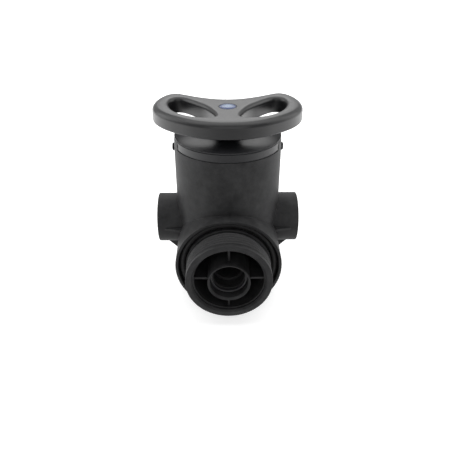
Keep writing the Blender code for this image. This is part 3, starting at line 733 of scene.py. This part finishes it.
hub = turned("hub_slip_washer", [
    (10.1, 153.7), (10.1, 155.9), (10.4, 156.2), (11.4, 156.2),
    (12.1, 155.95), (12.6, 155.3), (12.6, 153.9), (12.4, 153.7)], 112, None,
    True)
shade(hub, 30)
dress(hub, BLUE_MAT, VALVE, "blue_plastic", "hub_washer")
slip = turned("thrust_slip_washer", [
    (10.1, 122.6), (10.1, 123.9), (10.2, 124.0), (16.0, 124.0),
    (16.2, 123.8), (16.2, 122.7), (16.0, 122.5), (10.2, 122.5)], 96, None,
    True)
shade(slip, 30)
dress(slip, WHITE_MAT, VALVE, "white_plastic", "thrust_washer")

# ------------------------------------------------------------------- handle
OUTER = [(0, -40.3), (7.5, -40.0), (15, -38.7), (22.5, -36.2), (30, -32.7),
         (37.5, -27.9), (44.5, -22.6), (50.5, -16.9), (55.6, -10.4),
         (59.6, -3.0), (61.9, 5.5), (62.2, 14.2), (60.8, 23.2), (57.9, 31.0),
         (53.4, 37.7), (47.4, 41.5), (41.2, 41.0), (33.6, 36.8),
         (25.0, 31.6), (16.2, 27.5), (8.0, 25.0), (0, 24.2)]
HOLE = [(10.4, -21.0), (12.3, -23.4), (16.0, -24.2), (23.0, -23.1),
        (30.6, -20.1), (38.0, -14.2), (44.0, -5.8), (47.9, 4.4),
        (49.3, 12.8), (48.0, 19.7), (44.6, 23.6), (40.4, 24.0),
        (36.4, 21.8), (31.4, 17.0), (25.8, 11.0), (20.4, 4.8),
        (16.0, -2.2), (12.5, -10.2), (10.4, -17.0)]
OUTER = [(x * 1.027, y * 1.027) for x, y in OUTER]
HOLE = [(x * 1.0185, y * 1.0185) for x, y in HOLE]


def smooth_loop(points, per):
    n, out = len(points), []
    for i in range(n):
        p0, p1, p2, p3 = (np.array(points[(i + k - 1) % n], dtype=float)
                          for k in range(4))
        for j in range(per):
            t = j / per
            out.append(0.5 * (2 * p1 + (p2 - p0) * t
                              + (2 * p0 - 5 * p1 + 4 * p2 - p3) * t * t
                              + (3 * p1 - p0 - 3 * p2 + p3) * t ** 3))
    return np.array(out)


def signed_distance(points, x, y):
    """Distance to a closed outline, negative inside it."""
    a = points
    b = np.roll(points, -1, 0)
    best = np.full(x.shape, 1e9)
    wind = np.zeros(x.shape, dtype=bool)
    for (ax, ay), (bx, by) in zip(a, b):
        ex, ey = bx - ax, by - ay
        t = np.clip(((x - ax) * ex + (y - ay) * ey) / (ex * ex + ey * ey),
                    0, 1)
        best = np.minimum(best, (x - ax - t * ex) ** 2
                          + (y - ay - t * ey) ** 2)
        if ay != by:
            wind ^= (((ay > y) != (by > y))
                     & (x < (bx - ax) * (y - ay) / (by - ay) + ax))
    return np.where(wind, -1, 1) * np.sqrt(best)


G = 0.3
grid_x = np.arange(-1.5, 65.5, G)
grid_y = np.arange(-43.5, 46.0, G)
mx, my = np.meshgrid(grid_x, grid_y, indexing='ij')
outer_loop = smooth_loop(OUTER + [(-x, y) for x, y in reversed(OUTER[1:-1])],
                         5)
D_OUT = signed_distance(outer_loop, mx, my)
D_HOLE = -signed_distance(smooth_loop(HOLE, 5), mx, my)


def look(table, x, y):
    """Smooth reading of a half table, mirrored about x = 0."""
    fx = np.clip((np.abs(x) - grid_x[0]) / G, 0, len(grid_x) - 1.001)
    fy = np.clip((y - grid_y[0]) / G, 0, len(grid_y) - 1.001)
    i, j = fx.astype(int), fy.astype(int)
    u, v = fx - i, fy - j
    return (table[i, j] * (1 - u) * (1 - v) + table[i + 1, j] * u * (1 - v)
            + table[i, j + 1] * (1 - u) * v + table[i + 1, j + 1] * u * v)


H_TOP, H_BOT = 171.9, 157.9


def handle_field(x, y, z):
    do, dh = look(D_OUT, x, y), look(D_HOLE, x, y)
    t = np.clip((-do - 1.2) / 7.4, 0, 1)
    crown = 0.8 * (1 - t * t * (3 - 2 * t))
    top = z - (H_TOP - crown)
    low = H_BOT - z
    f = np.maximum(np.maximum(corner(do, top, 4.6), corner(dh, top, 3.6)),
                   np.maximum(corner(do, low, 1.6), corner(dh, low, 1.6)))
    r = np.hypot(x, y)
    boss = corner(r - 11.6, np.maximum(156.5 - z, z - 160.5), 0.5)
    f = smooth_min(f, boss, 1.4)
    f = np.maximum(f, -corner(r - 7.5, H_TOP - 1.7 - z, 0.15))
    f = np.maximum(f, -corner(r - 5.6, 164.6 - z, 0.15))
    f = np.maximum(f, 2.8 - r)
    f = np.maximum(f, -np.maximum(np.maximum(np.abs(x), np.abs(y)) - 6.3,
                                  z - 162.0))
    return f


handle = implicit("bow_handle", handle_field, (-65.3, -42.7, 155.7),
                  (65.3, 44.3, 172.8), 0.48)
dress(handle, HANDLE_MAT, ROTOR, "handle_plastic", "handle")

badge = turned("blank_badge", [(r, H_TOP + h) for r, h in
               [(0, -1.4), (7.0, -1.4), (7.0, -0.25), (6.55, -0.05)]
               + [(6.5 * sin(radians(a)), -0.15 + 0.93 * cos(radians(a)))
                  for a in (84, 76, 68, 60, 50, 40, 30, 20, 10)]
               + [(0, 0.78)]], 96)
shade(badge, 45)
dress(badge, BADGE_MAT, ROTOR, "badge_face", "handle_badge")
bezel = turned("badge_bezel", [(r, H_TOP + h) for r, h in (
    (6.55, -1.0), (6.55, -0.2), (6.7, 0.02), (7.15, 0.02), (7.35, -0.2),
    (7.35, -1.0))], 96, None, True)
shade(bezel, 30)
dress(bezel, RIM_MAT, ROTOR, "badge_face")

# ---------------------------------------------- finishes of the CAD pieces
FINISH = {
    "stem": STEM_MAT, "moving_disc": CERAMIC_MAT, "fixed_disc": CERAMIC_MAT,
    "moving_disc_seal": RUBBER_MAT, "fixed_disc_seal": RUBBER_MAT,
    "detent_ball_left": STEEL_MAT, "detent_ball_right": STEEL_MAT,
    "detent_spring_left": STEEL_MAT, "detent_spring_right": STEEL_MAT,
    "handle_screw": STEEL_MAT, "handle_screw_washer": STEEL_MAT,
}
for node, mat in FINISH.items():
    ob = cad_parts[node]
    for s in ob.material_slots:
        s.material = mat

# -------------------------------------------------------------- studio
floor_mat, tree, bsdf = nodes_of("studio_floor")
coord = tree.nodes.new("ShaderNodeTexCoord").outputs["Object"]
sep = tree.nodes.new("ShaderNodeSeparateXYZ")
tree.links.new(coord, sep.inputs[0])
speck = noise(tree, coord, 3.0)
# pale all over, with painted shade greying it a little towards the viewer so the
# valve's front reflects darker
pale = ramp(tree, sep.outputs[1], -0.36, -0.16, 0.43, 0.56)
pale = math_node(tree, 'ADD', pale, math_node(tree, 'MULTIPLY', speck, 0.03))
grey = tree.nodes.new("ShaderNodeCombineXYZ")
for i in range(3):
    tree.links.new(pale, grey.inputs[i])
tree.links.new(grey.outputs[0], bsdf.inputs["Base Color"])
bsdf.inputs["Roughness"].default_value = 0.9
bsdf.inputs["Specular IOR Level"].default_value = 0.1
# lit from below like a light table, brighter beside and behind the object
lean = math_node(tree, 'SUBTRACT', math_node(tree, 'ABSOLUTE', sep.outputs[0]),
                 math_node(tree, 'MULTIPLY', sep.outputs[0], 0.42))
beside = ramp(tree, lean, 0.07, 0.32, 0.0, 0.32)
behind = ramp(tree, sep.outputs[1], 0.0, 0.45, 0.0, 0.30)
far = ramp(tree, math_node(tree, 'ABSOLUTE', sep.outputs[0]), 0.26, 0.50,
           0.0, 0.9)
beside = math_node(tree, 'ADD', beside, far)
front = ramp(tree, sep.outputs[1], -0.27, -0.145, 0.12, 0.60)
tree.links.new(math_node(tree, 'ADD', math_node(tree, 'ADD', beside, behind),
                         front), bsdf.inputs["Emission Strength"])
bsdf.inputs["Emission Color"].default_value = (1.0, 1.0, 1.0, 1.0)
floor = new_object("studio_floor", [(-6000, -6000, -0.05), (6000, -6000, -0.05),
                                    (6000, 6000, -0.05), (-6000, 6000, -0.05)],
                   [(0, 1, 2, 3)])
floor.data.materials.append(floor_mat)

world = bpy.data.worlds.new("studio")
bpy.context.scene.world = world
world.use_nodes = True
wt = world.node_tree
wt.nodes.clear()
wo = wt.nodes.new("ShaderNodeOutputWorld")
bg = wt.nodes.new("ShaderNodeBackground")
direction = wt.nodes.new("ShaderNodeTexCoord").outputs["Generated"]
sep = wt.nodes.new("ShaderNodeSeparateXYZ")
wt.links.new(direction, sep.inputs[0])
side = math_node(wt, 'MULTIPLY', math_node(wt, 'ABSOLUTE', sep.outputs[0]),
                 0.55)
high = math_node(wt, 'MULTIPLY', sep.outputs[2], 0.40)
lift = math_node(wt, 'ADD', math_node(wt, 'ADD', sep.outputs[1], side),
                 math_node(wt, 'ADD', high, 0.08))
glow = ramp(wt, lift, 0.0, 0.95, 0.0, 1.0)
low = ramp(wt, sep.outputs[2], 0.0, 0.34, 0.45, 1.0)
glow = math_node(wt, 'MULTIPLY', glow, low)
wt.links.new(mix_colour(wt, glow, (0.19, 0.19, 0.195), (0.80, 0.80, 0.80)),
             bg.inputs["Color"])
bg.inputs["Strength"].default_value = 1.0
wt.links.new(bg.outputs[0], wo.inputs[0])
bpy.context.scene.view_settings.view_transform = 'Standard'


def area(name, at, aim, size, power, colour=(1, 1, 1)):
    data = bpy.data.lights.new(name, 'AREA')
    data.shape = 'RECTANGLE'
    data.size, data.size_y = size
    data.energy = power
    data.color = colour
    ob = bpy.data.objects.new(name, data)
    bpy.context.scene.collection.objects.link(ob)
    ob.location = at
    ob.rotation_euler = (Vector(aim) - Vector(at)).to_track_quat(
        '-Z', 'Y').to_euler()
    ob.visible_camera = False
    return ob


area("back_softbox", (0.0, 1.10, 1.00), (0, 0, 0.1), (0.85, 0.9), 5.4)
area("top_softbox", (0.0, 0.05, 1.25), (0, 0, 0.1), (2.0, 1.0), 11)
area("front_fill", (0.0, -1.10, 0.72), (0, 0, 0.06), (1.4, 1.0), 5.0)
area("left_softbox", (-1.10, 0.20, 0.62), (0, 0, 0.1), (0.9, 0.8), 5)
area("right_softbox", (1.10, 0.20, 0.62), (0, 0, 0.1), (0.9, 0.8), 4)

cam_data = bpy.data.cameras.new("camera")
cam_data.sensor_width = 36.0
cam_data.lens = 38.71
cam_data.shift_x, cam_data.shift_y = -0.0061, -0.0143
cam_data.clip_start, cam_data.clip_end = 0.01, 50
cam = bpy.data.objects.new("camera", cam_data)
bpy.context.scene.collection.objects.link(cam)
turn = radians(-0.8)
cam.location = (0.3911 * sin(turn), -0.3911 * cos(turn), 0.2976)
cam.rotation_euler = (radians(59.116), 0, turn)
bpy.context.scene.camera = cam
